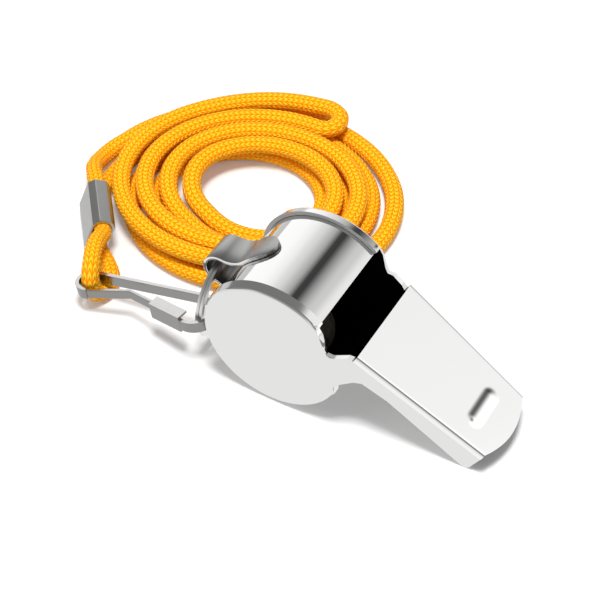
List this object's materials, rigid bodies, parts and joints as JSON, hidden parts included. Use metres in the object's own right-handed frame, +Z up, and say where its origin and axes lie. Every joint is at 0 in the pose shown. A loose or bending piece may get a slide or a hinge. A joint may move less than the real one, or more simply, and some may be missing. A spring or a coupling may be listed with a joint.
{
  "type": "sports whistle",
  "caption": "Pressed-steel pea whistle with a soldered neck loop, split ring, sprung clip and a coiled orange neck cord.",
  "frame": {"origin": "middle of the whistle's footprint, with its neck loop and split ring, on the surface that it lies on", "axes": "+X forward out of the mouthpiece, +Y to the whistle's left where the coiled cord lies, +Z up"},
  "size_m": [0.0861, 0.0574, 0.023],
  "materials": {
    "polished_steel": "polished nickel plate",
    "plated_wire": "bright nickel plate",
    "plated_strip": "satin nickel plate",
    "ferrule_metal": "satin",
    "cork": "natural cork",
    "orange_cord": "braided polyester"
  },
  "bodies": {
    "lanyard": {"lanyard_coil": "orange_cord", "lanyard_lead": "orange_cord", "lanyard_loop": "orange_cord", "ferrule": "ferrule_metal", "clip_frame": "plated_strip"},
    "tongue": {"clip_tongue": "plated_strip"},
    "ring": {"split_ring": "plated_wire"},
    "whistle": {"side_plate_left": "polished_steel", "side_plate_right": "polished_steel", "barrel": "polished_steel", "mouthpiece_top": "polished_steel", "windway_insert": "polished_steel", "lug": "polished_steel"},
    "pea_ball": {"pea": "cork"}
  },
  "joints": [
    {"name": "tongue_press", "type": "hinge", "parent": "lanyard", "child": "tongue", "pos_m": [-0.04319, -0.00799, 0.0042], "axis": [-0.165, 0, 0.9863], "range_deg": [0, 8], "stiffness_Nm_per_rad": 0.02},
    {"name": "ring_swivel", "type": "hinge", "parent": "lanyard", "child": "ring", "pos_m": [-0.02347, -0.0071, 0.0075], "axis": [0, 0, 1], "range_deg": [-75, 0]},
    {"name": "whistle_swing", "type": "hinge", "parent": "ring", "child": "whistle", "pos_m": [-0.02247, 0, 0.01479], "axis": [0, -1, 0], "range_deg": [0, 150]},
    {"name": "pea_roll", "type": "hinge", "parent": "whistle", "child": "pea_ball", "pos_m": [-0.00986, 0, 0.0115], "axis": [0, 1, 0], "continuous": true}
  ]
}
